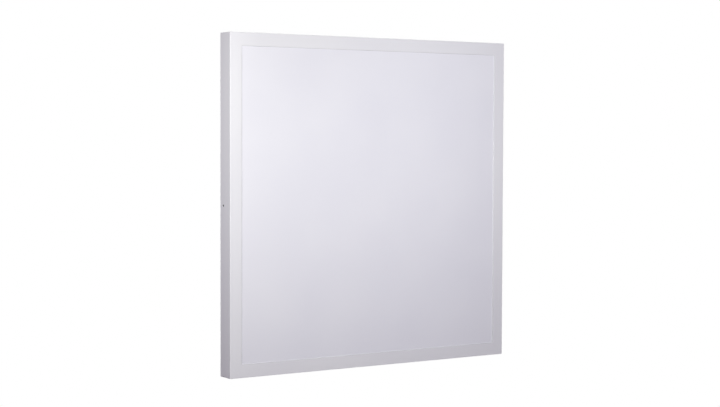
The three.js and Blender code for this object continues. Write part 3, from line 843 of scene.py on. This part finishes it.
def strip_chips(node, number):
    """The LED packages: a white frame with a yellow phosphor window, and bare pads for test probes."""
    front, z = board_face(node)
    height = 0.7
    dome = [(0, 0), (1.3 * MM, 0), (1.25 * MM, 0.06 * MM), (0, 0.1 * MM)]
    bm = bmesh.new()
    for x in led_columns():
        around(bm, (x, front, z), (1.75, 1.75), height, 0.2)
        before = set(bm.faces)
        turned(bm, (x, front - height * MM, z), ROOMWARD, dome, 24)
        painted(bm, before, 1)
        for side in (-1, 1):
            before = set(bm.faces)
            around(bm, (x + side * PAD_FROM_LED, front, z), (2, 1), 0.08, 0.03)
            painted(bm, before, 2)
    bmesh.ops.recalc_face_normals(bm, faces=bm.faces)
    return piece_from(bm, f"strip_leds_{number}", [node], POLYCARBONATE, PHOSPHOR, TINNED)


def strip_lenses(node, number):
    """Wide-angle lenses on three feet: a hollow under each to clear its LED and a dimple on top."""
    front, z = board_face(node)
    foot_pin = [(0, 0), (0.7 * MM, 0), (0.7 * MM, 0.7 * MM), (0, 0.7 * MM)]
    bm = bmesh.new()
    for x in led_columns():
        turned(bm, (x, front, z), ROOMWARD, in_mm(LENS), 32)
        for foot in range(3):
            angle = math.tau * foot / 3 + math.radians(30)
            away = (LENS_FOOT_CIRCLE * math.cos(angle), LENS_FOOT_CIRCLE * math.sin(angle))
            turned(bm, (x + away[0], front, z + away[1]), ROOMWARD, foot_pin, 10)
    bmesh.ops.recalc_face_normals(bm, faces=bm.faces)
    return piece_from(bm, f"strip_lenses_{number}", [node], ACRYLIC)


def strip_socket(node, number):
    """The strip's plug socket: a shrouded housing, open to both sides."""
    front, z = board_face(node)
    foot, reach = Vector((SOCKET_X, front, z)), Vector((SOCKET_HALF[0], 0, SOCKET_HALF[1]))
    bm = bmesh.new()
    faces = box_between(bm, foot - reach - Vector((0, SOCKET_HEIGHT, 0)), foot + reach)
    mouths = [f for f in faces if abs(f.normal.z) > 0.5]
    rounded(bm, [e for e in bm.edges if not any(f in mouths for f in e.link_faces)], 0.3 * MM, 2)
    mouths = [f for f in bm.faces if abs(f.normal.z) > 0.99 and f.calc_area() > 20 * MM * MM]
    for mouth in mouths:
        bmesh.ops.inset_region(bm, faces=[mouth], thickness=SOCKET_WALL, use_even_offset=True)
        pocket = bmesh.ops.extrude_discrete_faces(bm, faces=[mouth])["faces"][0]
        bmesh.ops.translate(bm, verts=pocket.verts, vec=-pocket.normal * SOCKET_POCKET)
    return piece_from(bm, f"strip_socket_{number}", [node], NYLON)


def push_rivet(node, number):
    """A nylon push rivet: a domed head with its centre pin driven flush."""
    low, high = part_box(node)
    centre = middle_of(node)
    top = (high.y - low.y) / MM
    profile = [
        (0, 0), (0.9, 0), (1.5, 0.7), (1.5, top - 1.2), (2.5, top - 1.2), (2.8, top - 0.95),
        (2.7, top - 0.6), (2.2, top - 0.2), (1.5, top), (1.2, top), (1.1, top - 0.2), (1.0, top), (0, top),
    ]
    bm = bmesh.new()
    turned(bm, (centre.x, high.y, centre.z), ROOMWARD, in_mm(profile), 20)
    bmesh.ops.recalc_face_normals(bm, faces=bm.faces)
    return piece_from(bm, f"push_rivet_{number}", [node], NYLON)


for number in range(1, LED_STRIPS + 1):
    strip = f"led_strip_{number}"
    strip_board(strip, number)
    strip_chips(strip, number)
    strip_lenses(strip, number)
    strip_socket(strip, number)
for number in range(1, 2 * LED_STRIPS + 1):
    push_rivet(f"strip_rivet_{number}", number)


# ---------------------------------------------------------------- driver, terminal and wiring


def wires(name, node, strands):
    """Insulated wires as round tubes in one piece; each strand is (route, radius, material)."""
    data = bpy.data.curves.new(name, "CURVE")
    data.dimensions = "3D"
    data.bevel_depth = 1 * MM
    data.bevel_resolution = 4
    data.use_fill_caps = True
    data.resolution_u = 8
    for index, (route, radius, material) in enumerate(strands):
        data.materials.append(material)
        spline = data.splines.new("BEZIER")
        spline.material_index = index
        spline.bezier_points.add(len(route) - 1)
        for point, place in zip(spline.bezier_points, route):
            point.co = place
            point.radius = radius / MM
            point.handle_left_type = point.handle_right_type = "AUTO"
    piece = bpy.data.objects.new(name, data)
    bpy.context.scene.collection.objects.link(piece)
    return standing_for(piece, [node])


def moved(route, shift):
    """The same route, shifted."""
    return [Vector(point) + Vector(shift) for point in route]


def wire_pair(name, node, route, apart):
    """A red and a grey wire side by side along a route."""
    strands = [(moved(route, apart), THIN_WIRE, RED_PVC), (moved(route, -apart), THIN_WIRE, GREY_PVC)]
    return wires(name, node, strands)


def jumper(number):
    """Two wires from one strip's socket to the next, bowed a little sideways."""
    node = f"strip_jumper_{number}"
    low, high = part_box(node)
    y = (low.y + high.y) / 2
    start, end = low.z - 1.5 * MM, high.z + 1.5 * MM
    route = [(0, start), (0, start + 9 * MM), (4 * MM, (start + end) / 2), (0, end - 9 * MM), (0, end)]
    route = [(SOCKET_X + bow, y, z) for bow, z in route]
    return wire_pair(f"jumper_wires_{number}", node, route, Vector((0.8 * MM, 0, 0)))


def output_lead():
    """Red and grey wires from the driver's end to the nearest strip's socket."""
    return wire_pair("output_wires", "output_lead", in_mm(OUTPUT_ROUTE), Vector((0, 0, 0.75 * MM)))


def mains_lead():
    """One sheathed two-core lead from the terminal to the driver."""
    return wires("mains_wire", "mains_lead", [(in_mm(MAINS_ROUTE), SHEATHED_WIRE, GREY_PVC)])


def earth_lead():
    """A green wire with a yellow stripe, crimped into a tinned ring lug."""
    route = in_mm(EARTH_ROUTE)
    stripe = moved(route, (0, -0.42 * MM, 0.12 * MM))
    wires("earth_wire", "earth_lead", [(route, EARTH_WIRE, EARTH_PVC), (stripe, EARTH_STRIPE, YELLOW_PVC)])
    stud = middle_of("earth_nut")
    seat = -SHEET - 0.3 * MM
    bm = bmesh.new()
    turned(bm, (stud.x, seat, stud.z), ROOMWARD, in_mm(LUG_WASHER), 40)
    neck_low = Vector((stud.x + 3.6 * MM, seat - 0.8 * MM, stud.z - 1.5 * MM))
    eased_box(bm, neck_low, neck_low + Vector((4.5, 0.8, 3.0)) * MM, 0.15 * MM)
    start = Vector(route[0]) - Vector((0.6, 0, 0)) * MM
    turned(bm, start, (1, -0.1, 0.12), in_mm(LUG_BARREL), 24)
    bmesh.ops.recalc_face_normals(bm, faces=bm.faces)
    return piece_from(bm, "earth_ring_lug", ["earth_lead"], TINNED, sharp=40)


def pan_screw(node):
    """A zinc-plated pan-head screw."""
    low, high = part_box(node)
    centre = middle_of(node)
    seat = Vector((centre.x, low.y + PAN_HEAD_HEIGHT, centre.z))
    thread = (M3_RADIUS, high.y - seat.y)
    return screw_from(node + "_pan_head", node, ZINC, seat, ROOMWARD, in_mm(PAN_HEAD), thread, PAN_RECESS)


for number in range(1, LED_STRIPS):
    jumper(number)
for node in TRAY_SCREWS:
    pan_screw(node)
eased_copy("driver_case", "driver_housing", POLYCARBONATE, 0.5 * MM)
eased_copy("driver_lid", "driver_cover", POLYCARBONATE, 0.4 * MM)
eased_copy("driver_board", "driver_circuit", CIRCUIT, 0.3 * MM)
eased_copy("terminal_block", "supply_terminal", POLYCARBONATE, 0.3 * MM)
for number in range(1, 4):
    eased_copy(f"release_button_{number}", f"terminal_button_{number}", ORANGE, 0.3 * MM)
eased_copy("cord_clamp", "cable_saddle", NYLON, 0.4 * MM)
earth_lead()
mains_lead()
output_lead()


# ---------------------------------------------------------------- floor and light


def plain(name, color, strength):
    """An even white that glows by itself, so that no shade falls on it."""
    material = bpy.data.materials.new(name)
    material.use_nodes = True
    tree = material.node_tree
    tree.nodes.clear()
    glow = add(tree, "ShaderNodeEmission", {"Color": color, "Strength": strength})
    add(tree, "ShaderNodeOutputMaterial", {"Surface": glow.outputs["Emission"]})
    return material


def make_floor():
    """A plain white floor under the panel's lower edge."""
    bm = bmesh.new()
    matrix = Matrix.Translation((0, 0, cad_low.z - 1 * MM))
    bmesh.ops.create_grid(bm, x_segments=1, y_segments=1, size=6, matrix=matrix)
    mesh = bpy.data.meshes.new("floor")
    bm.to_mesh(mesh)
    bm.free()
    mesh.materials.append(plain("white_floor", (1, 1, 1, 1), 1.0))
    floor = bpy.data.objects.new("floor", mesh)
    bpy.context.scene.collection.objects.link(floor)
    floor.visible_diffuse = False
    floor.visible_glossy = False
    floor.visible_shadow = False


def make_world():
    """White surroundings that light the object only softly."""
    world = bpy.data.worlds.new("studio")
    bpy.context.scene.world = world
    world.use_nodes = True
    tree = world.node_tree
    tree.nodes.clear()
    seen = add(tree, "ShaderNodeLightPath", {}).outputs["Is Camera Ray"]
    soft = add(tree, "ShaderNodeBackground", {"Color": srgb("e9d1ff"), "Strength": 0.139})
    white = add(tree, "ShaderNodeBackground", {"Color": (1, 1, 1, 1), "Strength": 1.0})
    both = add(tree, "ShaderNodeMixShader", {"Fac": seen, 1: soft.outputs[0], 2: white.outputs[0]})
    add(tree, "ShaderNodeOutputWorld", {"Surface": both.outputs["Shader"]})


def make_light(name, place, aim, size, power, color):
    """A square softbox that stands at place and shines along aim."""
    data = bpy.data.lights.new(name, "AREA")
    data.size = size
    data.energy = power
    data.color = color
    light = bpy.data.objects.new(name, data)
    light.location = place
    light.rotation_mode = "QUATERNION"
    light.rotation_quaternion = Vector(aim).to_track_quat("-Z", "Y")
    light.visible_camera = False
    bpy.context.scene.collection.objects.link(light)


def direction(azimuth, elevation):
    """A direction from its turn from +Y towards +X and its rise, in radians."""
    flat = math.cos(elevation)
    return Vector((math.sin(azimuth) * flat, math.cos(azimuth) * flat, math.sin(elevation)))


# Each softbox's name, place, aim, side, power and colour
FRONT_LIGHTS = [
    ("middle_softbox", (-0.022, -0.858, 0.268), direction(1.305, -0.197), 0.645, 6.36, (0.971, 1.0, 0.975)),
    ("left_softbox", (-0.681, -0.646, 0.221), (0.681, 0.646, -0.221), 0.5, 8.03, (0.977, 1.0, 0.944)),
]
# These stand behind the front face, so they light only the back, the top, the bottom and the right side
REAR_COLOR = (0.985, 1.0, 0.95)
REAR_LIGHTS = [
    ("back_softbox", (0.35, 1.5, 0.3), (-0.35, -1.5, -0.3), 1.2, 11, REAR_COLOR),
    ("top_softbox", (0.3, 0.55, 1.3), (-0.2, -0.4, -1.3), 1.0, 7.5, REAR_COLOR),
    ("right_softbox", (1.4, 0.65, 0.1), (-1.4, -0.65, -0.1), 1.0, 8.5, REAR_COLOR),
    ("low_softbox", (0.3, 0.6, -1.3), (-0.2, -0.5, 1.3), 1.0, 4, REAR_COLOR),
]

make_floor()
make_world()
for light in FRONT_LIGHTS + REAR_LIGHTS:
    make_light(*light)
bpy.context.scene.view_settings.view_transform = "Standard"
